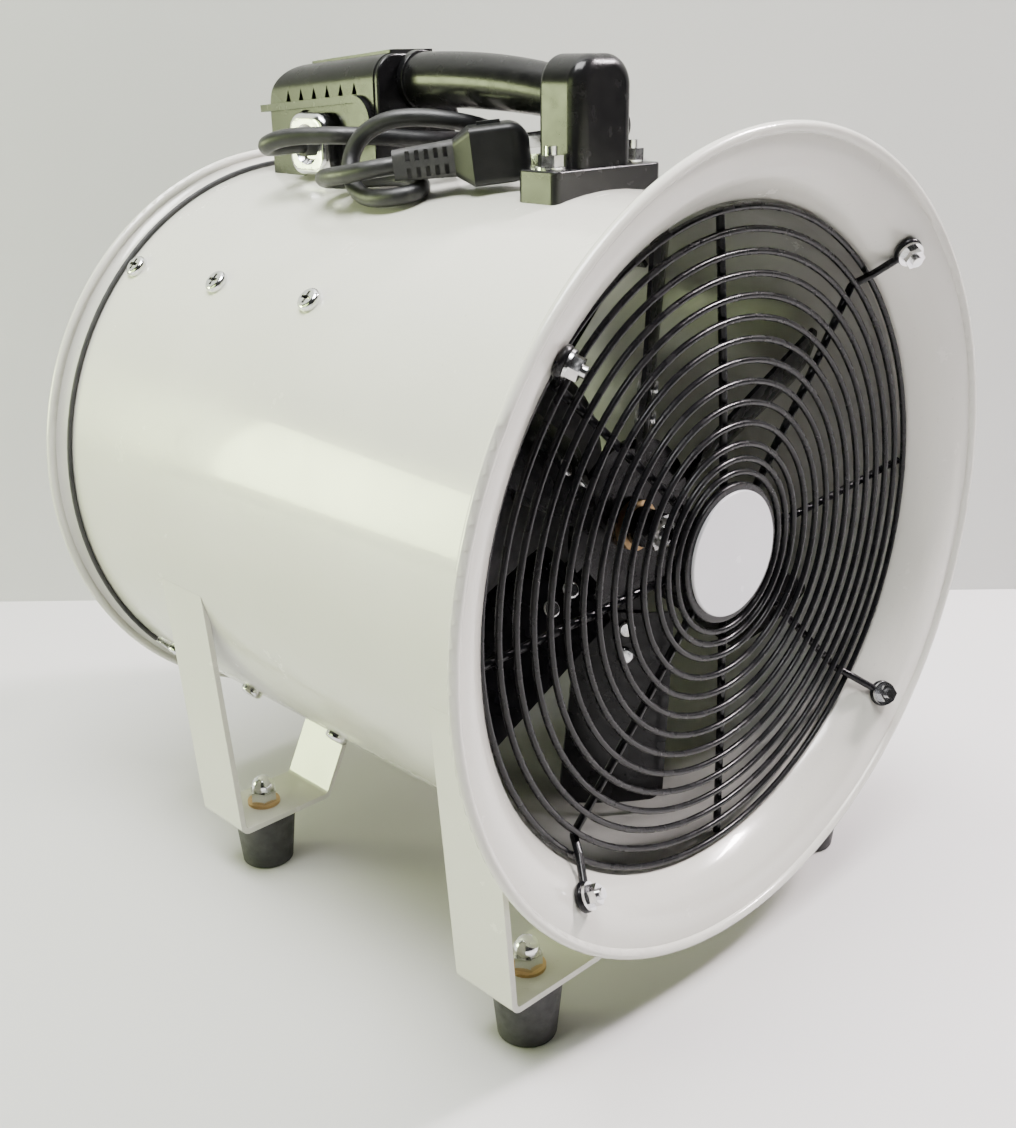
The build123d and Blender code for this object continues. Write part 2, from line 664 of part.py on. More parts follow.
def box_notches():
    """Row of pointed cooling notches above the rail, through both side walls."""
    notches = []
    for k in range(NOTCH_COUNT):
        y = BOX_Y0 + 14.7 + k * NOTCH_PITCH
        z = RAIL_BACK_Z + RAIL_THICKNESS / 2 + BOX_SLOPE * (BOX_Y1 + 5 - y) + 0.3
        outline = make_face(Polyline((y - 2.2, z), (y + 2.2, z), (y, z + 6), (y - 2.2, z)))
        notches.append(extrude_side(outline, BOX_HALF_WIDTH + 5))
    return Compound(notches)


def rear_handle_box():
    """Hollow box on the drum for the cable gland and the run capacitor."""
    box = box_shape(0) + box_rail()
    box -= box_shape(BOX_WALL)
    core = block(-BOX_HALF_WIDTH + 1.6, BOX_HALF_WIDTH - 1.6, BOX_Y0, BOX_Y1, 100, 230)
    for notch in box_notches():
        box -= notch - core
    pocket = Plane.YZ * Pos(GLAND_Y, GLAND_Z - 0.5) * RectangleRounded(GLAND_SIZE + 8, GLAND_SIZE + 3, 9)
    box -= Pos(-BOX_HALF_WIDTH + POCKET_DEPTH, 0, 0) * extrude(pocket, -10)
    box -= across(9.0, -40, -20, GLAND_Y, GLAND_Z)
    box -= rod(SPIGOT_R, BOX_Y0 - 1, BOX_Y0 + BOX_WALL + 1, z=GRIP_SECTIONS[0][1])
    for y in (BOX_Y0 + 9, BOX_Y1 - 9):
        box += block(9, 24, y - 5.5, y + 5.5, 140, 166)
        box -= Pos(15.0, y, 150) * Cylinder(3.0, 60)
    return box - casing_envelope() - block(-60, 60, 0, 200, 90, 140)


def handle_top_cover():
    """Thin sloping lid on the flat top of the box."""
    front, back = BOX_Y0 + 0.5, BOX_Y1 - BOX_BACK_R + 2
    outline = Polyline((front, box_top(front) + 0.02), (back, box_top(back) + 0.02),
                       (back, box_top(back) + 1.2), (front, box_top(front) + 1.6),
                       (front, box_top(front) + 0.02))
    lid = extrude_side(make_face(outline), BOX_HALF_WIDTH - BOX_EDGE_R)
    return fillet(lid.edges().filter_by(Axis.Z), 1.5)


def grip_collar():
    """Arched cap on the front end of the box, with a short sleeve round the grip."""
    plate = extrude(arch(BOX_HALF_WIDTH - 0.8, box_top(BOX_Y0) - 0.3, BOX_EDGE_R - 0.5, BOX_Y0),
                    BOX_Y0 - END_CAP_Y0)
    plate &= block(-40, 40, 0, 60, END_CAP_Z, 230)
    plate = fillet(plate.edges().group_by(Axis.Y)[0], 1.2)
    height = GRIP_SECTIONS[0][1]
    sleeve = rod(SLEEVE_R, SLEEVE_Y0, END_CAP_Y0 + 0.1, z=height)
    sleeve = fillet(sleeve.edges().group_by(Axis.Y)[0], 0.6)
    return plate + sleeve - rod(SPIGOT_R, SLEEVE_Y0 - 1, BOX_Y0 + 1, z=height)


def handle_grip():
    """Tapered round grip, a little arched, with a spigot at each end."""
    sections = [Plane.XZ.offset(-y) * Pos(0, z) * Circle(radius) for y, z, radius in GRIP_SECTIONS]
    grip = loft(sections)
    back_y, back_z, _ = GRIP_SECTIONS[0]
    front_y, front_z, _ = GRIP_SECTIONS[-1]
    grip += rod(SPIGOT_R - 0.05, back_y - 1, BOX_Y0 + BOX_WALL, z=back_z)
    return grip + rod(SPIGOT_R - 0.05, front_y - 7.9, front_y + 1, z=front_z)


def front_pedestal():
    """Front post of the handle on a wide foot that follows the drum."""
    post = block(-POST_HALF_WIDTH, POST_HALF_WIDTH, POST_Y0, POST_Y1, 150, POST_TOP_Z)
    post = fillet(post.edges().filter_by(Axis.Y).group_by(Axis.Z)[-1], 14)
    for end, radius in ((0, 7), (-1, 3)):
        groups = post.faces().sort_by(Axis.Y)[end].edges().group_by(Axis.Z)
        post = fillet([edge for group in groups[1:] for edge in group], radius)
    foot = block(-BASE_HALF_WIDTH, BASE_HALF_WIDTH, BASE_Y0, BASE_Y1, 140, BASE_TOP_Z)
    foot = fillet(foot.edges().filter_by(Axis.Z), 3.5)
    foot = fillet(foot.edges().group_by(Axis.Z)[-1], 1.0)
    post += foot
    post -= block(-15, 16, POST_Y0 + 3, POST_Y1 - 5, 130, 187)
    post -= rod(SPIGOT_R, POST_Y1 - 8, POST_Y1 + 1, z=GRIP_SECTIONS[-1][1])
    post -= across(BUTTON_R + 0.3, 10, 30, BUTTON_Y, BUTTON_Z)
    for side in (-1, 1):
        post -= Pos(side * HANDLE_BOLT_X, HANDLE_BOLT_Y, 150) * Cylinder(3.0, 60)
    return post - casing_envelope()


def handle_bolts():
    """Bolts up through the drum, heads inside it."""
    front, back = handle_bolt_places()
    bolts = []
    for x, y in front + back:
        wall_z = sqrt(DRUM_INNER_R ** 2 - (abs(x) + 5) ** 2) - 0.1
        top = 175.0 if y < 0 else 163.0
        head = Pos(x, y, wall_z - 3) * Cylinder(5.0, 3.0, align=UP)
        shank = Pos(x, y, wall_z - 0.1) * Cylinder(2.98, top - wall_z + 0.1, align=UP)
        bolts.append(fillet(head.edges().group_by(Axis.Z)[0], 1.2) + shank)
    return Compound(bolts)


def handle_washers():
    front, _ = handle_bolt_places()
    return Compound([Pos(x, y, BASE_TOP_Z) * washer(7.0, 3.1, 1.2) for x, y in front])


def handle_nuts():
    front, _ = handle_bolt_places()
    nut = hexagon(10, 5) - Cylinder(3.0, 20)
    return Compound([Pos(x, y, BASE_TOP_Z + 1.2) * nut for x, y in front])


def power_button():
    """Push button with a stem that reaches into the switch."""
    cap = across(BUTTON_R, 16.5, 22.5, BUTTON_Y, BUTTON_Z)
    cap = fillet(cap.edges().group_by(Axis.X)[-1], 2.0)
    return cap + across(2.5, 11.5, 17, BUTTON_Y, BUTTON_Z)


def button_bezel():
    """Ring round the button, on the side of the post."""
    ring = across(9.0, POST_HALF_WIDTH, POST_HALF_WIDTH + 1.4, BUTTON_Y, BUTTON_Z)
    return ring - across(BUTTON_R + 0.3, 10, 30, BUTTON_Y, BUTTON_Z)


def switch_body():
    """Push switch inside the post."""
    body = block(-8, 12.5, BUTTON_Y - 5.6, BUTTON_Y + 5.6, BUTTON_Z - 5.4, BUTTON_Z + 5.4)
    return body - across(2.6, 8, 20, BUTTON_Y, BUTTON_Z)


def run_capacitor():
    can = rod(12.5, 78, 126, x=8, z=183)
    return fillet(can.edges(), 1.5)


# Cord, gland and plug

def cable_gland():
    """Plated gland: a rounded square body with a dished mouth and a threaded neck through the wall."""
    body = extrude(RectangleRounded(GLAND_SIZE, GLAND_SIZE, 9), GLAND_DEPTH)
    body = fillet(body.edges().group_by(Axis.Z)[-1], 3.5)
    body -= Pos(0, 0, GLAND_DEPTH - 3.5) * Cone(7.5, 11.0, 4.5, align=UP)
    neck = Pos(0, 0, -9) * Cylinder(8.9, 9.2, align=UP)
    gland = body + neck - Cylinder(CORD_D / 2 + 1.6, 90)
    return Pos(-BOX_HALF_WIDTH + POCKET_DEPTH, GLAND_Y, GLAND_Z) * Rot(0, -90, 0) * gland


def gland_nut():
    """Locknut inside the box."""
    nut = hexagon(22, 4) - Cylinder(8.95, 20)
    return Pos(-BOX_HALF_WIDTH + BOX_WALL, GLAND_Y, GLAND_Z) * Rot(0, 90, 0) * nut


def gland_seal():
    """Rubber bush squeezed round the cord in the mouth of the gland."""
    bush = across(CORD_D / 2 + 1.55, GLAND_FACE_X, GLAND_FACE_X + 14, GLAND_Y, GLAND_Z)
    return bush - across(CORD_D / 2 + 0.05, GLAND_FACE_X + 1, GLAND_FACE_X + 20, GLAND_Y, GLAND_Z)


def cord_route():
    """Middle of the cord from the gland, coiled twice beside the grip, to the plug's boot."""
    return [
        (GLAND_FACE_X, GLAND_Y, GLAND_Z), (-50, 98, 169.5), (-58.5, 99.5, 168.8), (-64, 94, 171),
        (-62.5, 86, 173.8), (-58, 76.5, 175.5), (-52, 65, 176), (-46, 54, 176), (-34, 46, 175.5),
        (-14, 36, 173), (6, 26, 172), (15, 13, 173), (8, 1.5, 176.5), (-5, 1, 180.5),
        (-18, 8, 183.5), (-29, 19, 185), (-38, 31, 183.5), (-45, 42, 176), (-50, 44.5, 165),
        (-55, 37, 154.5), (-60, 22, 149.4), (-58.5, 7, 150.2), (-52, -1, 151.8), (-44.5, -1.2, 153.4),
        (-37.5, 5.5, 154.8), (-33, 15, 156.2), (-32, 28, 156.8), (-37.5, 42, 156), (-45.5, 52, 155),
        (-55, 56, 155.5), (-63, 50, 157.3), (-66, 38, 159), (-64.5, 24, 161), (-60.4, 14.2, 163.2),
        PLUG_TIP]


def bend_radii(points):
    """Bend at each corner, as wide as the shorter of its two runs allows."""
    radii = []
    for before, corner, after in zip(points, points[1:], points[2:]):
        arriving = Vector(*corner) - Vector(*before)
        leaving = Vector(*after) - Vector(*corner)
        half_turn = radians(arriving.get_angle(leaving)) / 2
        radii.append(0.45 * min(arriving.length, leaving.length) / tan(half_turn))
    return radii


def power_cord():
    route = cord_route()
    radii = bend_radii(route)
    path = FilletPolyline(*route, radius=radii)
    cord = sweep(Plane(origin=path @ 0, z_dir=path % 0) * Circle(CORD_D / 2), path=path)
    filled = cord.volume / (pi * (CORD_D / 2) ** 2 * path.length)
    print("cord length", round(path.length, 1), "volume against section times length", round(filled, 4))
    print("cord bend radii", [round(r, 1) for r in radii])
    return cord


def plug_length():
    return (Vector(*PLUG_FACE) - Vector(*PLUG_TIP)).length


def in_plug(shape):
    """Place a shape drawn along Z from the boot's thin end, with -Y on the plug's top side."""
    axis = Vector(*PLUG_FACE) - Vector(*PLUG_TIP)
    sideways = axis.cross(Vector(0, 0, 1)).normalized()
    return Plane(origin=PLUG_TIP, x_dir=sideways, z_dir=axis) * shape


def plug_boot():
    """Square ribbed boot between cord and plug, with two rows of slots in each side."""
    thick_end = Pos(0, 0, BOOT_LENGTH) * RectangleRounded(15.5, 16.5, 3)
    boot = loft([RectangleRounded(13.5, 13.5, 3), thick_end])
    for k in range(BOOT_SLOTS):
        for row in (-3.8, 3.8):
            for side in (-1, 1):
                boot -= Pos(side * 7.9, row, 7 + k * 4.4) * Box(4.4, 4.6, 2.0)
    return in_plug(boot)


def plug_body():
    """Moulded plug: flared neck, flat-sided block rounded at its front, and a grip ridge on top."""
    length = plug_length() - BOOT_LENGTH
    flared = Pos(0, 0, 8) * RectangleRounded(PLUG_WIDTH, PLUG_HEIGHT, 3)
    neck = loft([RectangleRounded(15.5, 16.5, 3), flared])
    block_part = extrude(flared, length - 8)
    block_part = fillet(block_part.edges().filter_by(Axis.Y).group_by(Axis.Z)[-1], 9)
    ridge = Pos(-5, -PLUG_HEIGHT / 2 - 0.4, length / 2) * Box(5, 2, 11)
    body = neck + block_part + ridge
    for x, y, turn in PIN_PLACES:
        body -= Pos(x, y, length - 8) * Rot(0, 0, turn) * pin_blank(0, 10)
    return in_plug(Pos(0, 0, BOOT_LENGTH) * body)


def pin_blank(shrink, length):
    return Pos(0, 0, length / 2) * Box(PIN_WIDTH - shrink, PIN_THICKNESS - shrink, length)


def plug_pins():
    """Three flat pins, chamfered at their ends."""
    pins = []
    for x, y, turn in PIN_PLACES:
        pin = pin_blank(0.02, PIN_LENGTH + 8)
        pin = chamfer(pin.edges().group_by(Axis.Z)[-1], 0.5)
        pins.append(Pos(x, y, plug_length() - 8) * Rot(0, 0, turn) * pin)
    return in_plug(Compound(pins))


def add_casing():
    nodes["drum_shell"] = drum_shell()
    nodes["inlet_bell"] = inlet_bell()
    nodes["rear_collar"] = rear_collar()
    nodes["collar_seal"] = collar_seal()
    nodes["seal_clip"] = seal_clip()
    for side, side_name in ((-1, "left"), (1, "right")):
        for end, y in FOOT_YS.items():
            nodes[f"foot_bracket_{end}_{side_name}"] = foot_bracket(side, y)
    nodes["rubber_feet"] = at_feet(rubber_foot())
    nodes["foot_washers"] = foot_washers()
    nodes["foot_nuts"] = foot_nuts()
    nodes["foot_studs"] = foot_studs()


def add_guards():
    nodes["front_guard_rings"] = guard_rings(GUARD_Y, -1, GUARD_R)
    nodes["front_guard_spokes"] = front_guard_spokes()
    nodes["guard_centre_plate"] = guard_centre_plate()
    nodes["guard_badge"] = guard_badge()
    nodes["guard_bolts"] = guard_bolts()
    nodes["guard_washers"] = on_bell(Pos(0, 0, 2 * SPOKE_WIRE_R + 0.2) * washer(6.2, 2.6, 1.2))
    nut = hexagon(8.5, 4.2) - Cylinder(2.5, 12)
    nodes["guard_nuts"] = on_bell(Pos(0, 0, 2 * SPOKE_WIRE_R + 1.4) * nut)
    nodes["rear_guard_rings"] = guard_rings(REAR_GUARD_Y, 1, REAR_GUARD_R)
    nodes["rear_guard_spokes"] = rear_guard_spokes()
    nodes["rear_guard_clips"] = rear_guard_clips()


def add_motor():
    nodes["motor_housing"] = motor_housing()
    nodes["motor_front_cover"] = motor_cover(MOTOR_FRONT_Y + COVER_DEPTH, MOTOR_FRONT_Y)
    nodes["motor_rear_cover"] = motor_cover(MOTOR_BACK_Y - COVER_DEPTH, MOTOR_BACK_Y)
    nodes["stator"] = stator()
    nodes["shaft_bearings"] = shaft_bearings()
    nodes["motor_arms"] = motor_arms()
    nodes["arm_screws"] = arm_screws()
    nodes["arm_nuts"] = arm_nuts()
    nodes["motor_bolts"] = motor_bolts()
    nodes["motor_lead"] = motor_lead()
    nodes["lead_grommet"] = lead_grommet()
    nodes["run_capacitor"] = run_capacitor()


def add_impeller():
    nodes["rotor"] = rotor()
    nodes["motor_shaft"] = motor_shaft()
    nodes["impeller_hub"] = impeller_hub()
    nodes["impeller_blades"] = impeller_blades()
    nodes["blade_rivets"] = blade_rivets()
    nodes["hub_bush"] = hub_bush()
    nodes["shaft_nut"] = shaft_nut()


def add_handle():
    nodes["rear_handle_box"] = rear_handle_box()
    nodes["handle_top_cover"] = handle_top_cover()
    nodes["grip_collar"] = grip_collar()
    nodes["handle_grip"] = handle_grip()
    nodes["front_pedestal"] = front_pedestal()
    nodes["handle_bolts"] = handle_bolts()
    nodes["handle_washers"] = handle_washers()
    nodes["handle_nuts"] = handle_nuts()
    nodes["power_button"] = power_button()
    nodes["button_bezel"] = button_bezel()
    nodes["switch_body"] = switch_body()


def add_cord():
    nodes["cable_gland"] = cable_gland()
    nodes["gland_nut"] = gland_nut()
    nodes["gland_seal"] = gland_seal()
    nodes["power_cord"] = power_cord()
    nodes["plug_boot"] = plug_boot()
    nodes["plug_body"] = plug_body()
    nodes["plug_pins"] = plug_pins()


add_casing()
add_guards()
add_motor()
add_impeller()
add_handle()
add_cord()

os.makedirs("parts", exist_ok=True)
for name, shape in nodes.items():
    export_step(Pos(0, 0, AXIS_HEIGHT) * shape, f"parts/{name}.step")
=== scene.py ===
import json
import math

import bpy
from mathutils import Matrix, Vector


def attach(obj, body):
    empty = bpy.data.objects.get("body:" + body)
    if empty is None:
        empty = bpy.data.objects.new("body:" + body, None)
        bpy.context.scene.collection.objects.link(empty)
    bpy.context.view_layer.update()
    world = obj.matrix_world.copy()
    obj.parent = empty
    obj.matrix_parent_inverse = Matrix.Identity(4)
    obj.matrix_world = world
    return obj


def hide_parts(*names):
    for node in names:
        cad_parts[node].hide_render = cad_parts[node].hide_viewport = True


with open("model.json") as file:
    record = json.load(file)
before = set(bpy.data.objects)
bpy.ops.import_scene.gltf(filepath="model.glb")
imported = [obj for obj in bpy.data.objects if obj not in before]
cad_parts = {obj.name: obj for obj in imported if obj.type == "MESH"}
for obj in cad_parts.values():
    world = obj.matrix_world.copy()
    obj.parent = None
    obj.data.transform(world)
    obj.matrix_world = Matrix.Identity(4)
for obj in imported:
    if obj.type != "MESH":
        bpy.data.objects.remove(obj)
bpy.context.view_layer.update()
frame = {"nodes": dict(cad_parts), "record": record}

# Camera, as the object is seen: metres and degrees, sensor and lens in millimetres
CAMERA_AT = Vector((-0.4773, -0.5032, 0.4271))
CAMERA_AZIMUTH = -44.12
CAMERA_ELEVATION = 20.82
CAMERA_ROLL = -0.71
SENSOR_WIDTH = 36.0
LENS = 48.5

# Object, in metres
AXIS_HEIGHT = 0.210        # fan axis above the floor
DRUM_WALL_MIDDLE = 0.1543  # radius between the drum wall's two faces
CORD_DIAMETER = 0.0085

# Stage: lengths in metres, shades as red, green and blue from 0 to 1
WALL_DISTANCE = 1.05       # camera to backdrop, along the floor
STAGE_SIZE = 6.0
FLOOR_SHADE = (0.56, 0.55, 0.55)
WALL_SHADE = (0.56, 0.56, 0.55)
ROOM_SHADE = (0.84, 0.84, 0.86)  # light from all round
ROOM_STRENGTH = 0.03
PINKISH = (1.0, 0.90, 0.93)
GREENISH = (0.86, 1.0, 0.50)
DEEPER_GREEN = (0.80, 1.0, 0.42)


# Materials ------------------------------------------------------------------------------------

class Graph:
    """A material's node tree, with short calls for the nodes that the materials share."""

    def __init__(self, name, base, roughness, metallic=0.0):
        self.material = bpy.data.materials.new(name)
        self.material.use_nodes = True
        self.tree = self.material.node_tree
        self.shader = self.tree.nodes["Principled BSDF"]
        self.set("Base Color", (*base, 1))
        self.set("Roughness", roughness)
        self.set("Metallic", metallic)
        self.place = self.tree.nodes.new("ShaderNodeTexCoord").outputs["Object"]

    def set(self, socket, value):
        """Set one of the shader's inputs."""
        self.shader.inputs[socket].default_value = value

    def link(self, output, node_input):
        self.tree.links.new(output, node_input)

    def feed(self, value, node_input):
        """Link an output to an input, or set the input to a constant number or colour."""
        if isinstance(value, bpy.types.NodeSocket):
            self.link(value, node_input)
        else:
            node_input.default_value = (*value, 1) if node_input.type == "RGBA" else value

    def colour(self, output):
        self.link(output, self.shader.inputs["Base Color"])

    def uneven_roughness(self, value, low, high, end=0.7):
        """Let the roughness follow a noise."""
        self.link(self.spread(value, low, high, end=end), self.shader.inputs["Roughness"])

    def noise(self, scale, detail=3.0, roughness=0.5, stretch=None):
        """Soft noise through the object's space; a larger scale is a finer noise."""
        node = self.tree.nodes.new("ShaderNodeTexNoise")
        node.inputs["Scale"].default_value = scale
        node.inputs["Detail"].default_value = detail
        node.inputs["Roughness"].default_value = roughness
        self.link(self.stretched(stretch), node.inputs["Vector"])
        return node.outputs["Fac"]

    def cells(self, scale):
        """Distance to the nearest of many scattered points."""
        node = self.tree.nodes.new("ShaderNodeTexVoronoi")
        node.inputs["Scale"].default_value = scale
        self.link(self.place, node.inputs["Vector"])
        return node.outputs["Distance"]

    def stretched(self, stretch):
        """The place on the object, scaled by a factor for each axis if there is one."""
        if stretch is None:
            return self.place
        node = self.tree.nodes.new("ShaderNodeMapping")
        node.inputs["Scale"].default_value = stretch
        self.link(self.place, node.inputs["Vector"])
        return node.outputs["Vector"]

    def ramp(self, value, stops):
        """Map a value through (position, colour or grey) stops."""
        node = self.tree.nodes.new("ShaderNodeValToRGB")
        elements = node.color_ramp.elements
        while len(elements) < len(stops):
            elements.new(0.5)
        for element, (position, shade) in zip(elements, stops):
            element.position = position
            grey = isinstance(shade, (int, float))
            element.color = (shade, shade, shade, 1) if grey else (*shade, 1)
        self.link(value, node.inputs["Fac"])
        return node.outputs["Color"]

    def spread(self, value, low, high, start=0.3, end=0.7):
        """Run from one colour or grey to another while a value goes from start to end."""
        return self.ramp(value, [(start, low), (end, high)])

    def mix(self, factor, first, second):
        """Blend two colours; either may be an output or a constant."""
        node = self.tree.nodes.new("ShaderNodeMix")
        node.data_type = "RGBA"
        self.link(factor, node.inputs["Factor"])
        colours = [socket for socket in node.inputs if socket.type == "RGBA"]
        for value, socket in zip((first, second), colours):
            self.feed(value, socket)
        return next(socket for socket in node.outputs if socket.type == "RGBA")

    def combine(self, first, second, operation="ADD"):
        """Join two numbers; either may be an output or a constant."""
        node = self.tree.nodes.new("ShaderNodeMath")
        node.operation = operation
        for value, socket in zip((first, second), node.inputs):
            self.feed(value, socket)
        return node.outputs["Value"]

    def bump(self, height, strength, distance):
        """Let the shading follow a height; the shape itself stays."""
        node = self.tree.nodes.new("ShaderNodeBump")
        node.inputs["Strength"].default_value = strength
        node.inputs["Distance"].default_value = distance
        self.link(height, node.inputs["Height"])
        self.link(node.outputs["Normal"], self.shader.inputs["Normal"])

    def near_axis(self, radius):
        """One on surfaces closer than a radius to the fan axis, nought further out."""
        split = self.tree.nodes.new("ShaderNodeSeparateXYZ")
        self.link(self.place, split.inputs["Vector"])
        height = self.combine(split.outputs["Z"], AXIS_HEIGHT, "SUBTRACT")
        across_squared = self.combine(split.outputs["X"], split.outputs["X"], "MULTIPLY")
        up_squared = self.combine(height, height, "MULTIPLY")
        return self.combine(self.combine(across_squared, up_squared), radius ** 2, "LESS_THAN")

    def corners(self):
        """White on outward edges, black in hollows, grey on flat faces."""
        return self.tree.nodes.new("ShaderNodeNewGeometry").outputs["Pointiness"]


def cream_paint():
    """Gloss off-white powder paint: faint clouding, orange peel, and painted shade inside the drum."""
    graph = Graph("cream_paint", (0.62, 0.61, 0.55), 0.22)
    clouds = graph.spread(graph.noise(9, detail=4), (0.58, 0.572, 0.515), (0.63, 0.622, 0.565))
    specks = graph.spread(graph.noise(420, detail=2), 0.0, 0.35, start=0.70, end=0.78)
    outside = graph.mix(specks, clouds, (0.42, 0.40, 0.36))
    # Painted shade: surfaces nearer the axis than the drum wall get a darker grey-cream that stands in
    # for the shade inside the drum.
    blotches = graph.noise(14, detail=5, roughness=0.6)
    painted_inside_shade = graph.spread(blotches, (0.36, 0.36, 0.33), (0.45, 0.45, 0.42))
    graph.colour(graph.mix(graph.near_axis(DRUM_WALL_MIDDLE), outside, painted_inside_shade))
    graph.uneven_roughness(graph.noise(30, detail=5, roughness=0.7), 0.16, 0.30, end=0.75)
    graph.set("Coat Weight", 0.5)
    graph.set("Coat Roughness", 0.06)
    fine_peel = graph.noise(330, detail=2)
    wide_peel = graph.combine(graph.noise(60, detail=2), 0.6, "MULTIPLY")
    graph.bump(graph.combine(fine_peel, wide_peel), strength=0.10, distance=0.0006)
    return graph.material


def black_coating():
    """Gloss black coating over metal, with fine lumps and a little settled dust."""
    graph = Graph("black_coating", (0.006, 0.006, 0.007), 0.22)
    dust = graph.spread(graph.noise(55, detail=5, roughness=0.65), 0.0, 0.05, start=0.42, end=0.72)
    graph.colour(graph.mix(dust, (0.005, 0.005, 0.006), (0.050, 0.048, 0.045)))
    graph.uneven_roughness(graph.noise(90, detail=4), 0.16, 0.36)
    graph.set("Specular IOR Level", 0.22)
    graph.set("Coat Weight", 0.06)
    graph.set("Coat Roughness", 0.12)
    graph.bump(graph.noise(520, detail=2), strength=0.06, distance=0.0003)
    return graph.material


def white_badge():
    """Plain white enamel disc."""
    graph = Graph("white_badge", (0.68, 0.68, 0.70), 0.2)
    graph.colour(graph.spread(graph.noise(25), (0.65, 0.65, 0.68), (0.70, 0.70, 0.72)))
    graph.uneven_roughness(graph.noise(70, detail=4), 0.16, 0.28)
    graph.set("Coat Weight", 0.4)
    graph.bump(graph.noise(600, detail=2), strength=0.06, distance=0.0003)
    return graph.material


def bright_plating():
    """Zinc plating: bright, slightly blue, with stains in the hollows."""
    graph = Graph("bright_plating", (0.72, 0.73, 0.75), 0.22, metallic=1.0)
    bluish = (0.66, 0.67, 0.70)
    bright = (0.78, 0.78, 0.79)
    yellowed = (0.72, 0.70, 0.65)
    tint = graph.ramp(graph.noise(160), [(0.3, bluish), (0.55, bright), (0.8, yellowed)])
    hollow = graph.spread(graph.corners(), 0.65, 0.0, start=0.42, end=0.50)
    graph.colour(graph.mix(hollow, tint, (0.16, 0.15, 0.14)))
    graph.uneven_roughness(graph.noise(420, detail=4), 0.10, 0.26, end=0.75)
    graph.bump(graph.noise(900), strength=0.04, distance=0.0002)
    return graph.material


def brass():
    """Brass gone brown, brighter on its edges."""
    graph = Graph("brass", (0.42, 0.24, 0.12), 0.35, metallic=1.0)
    blotches = graph.noise(240, detail=5, roughness=0.7)
    tarnish = graph.spread(blotches, (0.20, 0.11, 0.06), (0.50, 0.30, 0.16))
    edge = graph.spread(graph.corners(), 0.0, 0.7, start=0.50, end=0.60)
    graph.colour(graph.mix(edge, tarnish, (0.66, 0.46, 0.24)))
    graph.uneven_roughness(graph.noise(300, detail=4), 0.26, 0.52)
    graph.bump(graph.noise(800), strength=0.15, distance=0.0003)
    return graph.material


def moulded_plastic(name, shade, roughness, grain):
    """Satin black plastic with a fine moulded grain, thin dust and rubbed edges."""
    graph = Graph(name, (shade, shade, shade * 1.05), roughness)
    rubbed = graph.spread(graph.corners(), 0.0, 0.5, start=0.51, end=0.60)
    dust = graph.spread(graph.noise(70, detail=5, roughness=0.7), 0.0, 0.12, start=0.45, end=0.8)
    dusty = graph.mix(dust, (shade * 0.9, shade * 0.9, shade), (0.060, 0.058, 0.054))
    graph.colour(graph.mix(rubbed, dusty, (0.03, 0.03, 0.03)))
    graph.uneven_roughness(graph.noise(140, detail=4), roughness - 0.03, roughness + 0.05)
    graph.set("Specular IOR Level", 0.26)
    pits = graph.combine(graph.cells(1500), graph.noise(2200, detail=2))
    graph.bump(pits, strength=grain, distance=0.0003)
    return graph.material


def rubber(name, shade, roughness):
    """Matt moulded rubber, greyed by dust."""
    graph = Graph(name, (shade, shade, shade), roughness)
    bloom = graph.spread(graph.noise(60, detail=6, roughness=0.75), 0.0, 0.45, start=0.40, end=0.75)
    graph.colour(graph.mix(bloom, (shade, shade, shade * 1.05), (0.085, 0.082, 0.078)))
    graph.uneven_roughness(graph.noise(200, detail=4), roughness - 0.1, roughness + 0.12)
    graph.bump(graph.combine(graph.noise(900), graph.noise(160)), strength=0.18, distance=0.0005)
    return graph.material


def cord_sheath():
    """Smooth black cord sheath, slightly uneven and dusty."""
    graph = Graph("cord_sheath", (0.010, 0.010, 0.011), 0.40)
    dust = graph.spread(graph.noise(110, detail=5, roughness=0.7), 0.0, 0.35, start=0.45, end=0.8)
    graph.colour(graph.mix(dust, (0.009, 0.009, 0.010), (0.04, 0.039, 0.037)))
    graph.uneven_roughness(graph.noise(240, detail=4), 0.34, 0.52)
    lumps = graph.combine(graph.noise(170, detail=2), graph.noise(1300, detail=2))
    graph.bump(lumps, strength=0.15, distance=0.0005)
    return graph.material


def cast_cover():
    """Motor end cover: sand-cast surface under dark paint."""
    graph = Graph("cast_cover", (0.03, 0.03, 0.032), 0.4)
    patches = graph.noise(80, detail=5)
    graph.colour(graph.spread(patches, (0.02, 0.02, 0.022), (0.07, 0.068, 0.066), end=0.8))
    graph.uneven_roughness(graph.noise(150, detail=4), 0.34, 0.56)
    sand = graph.combine(graph.noise(420, detail=4), graph.cells(300))
    graph.bump(sand, strength=0.30, distance=0.0008)
    return graph.material


def bare_steel():
    """Turned steel with fine rings round the shaft's axis."""
    graph = Graph("bare_steel", (0.50, 0.50, 0.51), 0.28, metallic=1.0)
    rings = graph.noise(60, detail=4, roughness=0.6, stretch=(0.4, 22.0, 0.4))
    graph.colour(graph.spread(rings, (0.36, 0.36, 0.37), (0.58, 0.58, 0.58)))
    graph.uneven_roughness(rings, 0.20, 0.40)
    graph.bump(rings, strength=0.15, distance=0.0003)
    return graph.material


MATERIALS = {
    "cream_paint": cream_paint(),
    "black_coating": black_coating(),
    "white_badge": white_badge(),
    "bright_plating": bright_plating(),
    "brass": brass(),
    "cast_cover": cast_cover(),
    "bare_steel": bare_steel(),
    "handle_plastic": moulded_plastic("handle_plastic", shade=0.005, roughness=0.24, grain=0.025),
    "plug_plastic": moulded_plastic("plug_plastic", shade=0.008, roughness=0.36, grain=0.07),
    "button_rubber": rubber("button_rubber", shade=0.02, roughness=0.5),
    "rubber_black": rubber("rubber_black", shade=0.022, roughness=0.62),
}


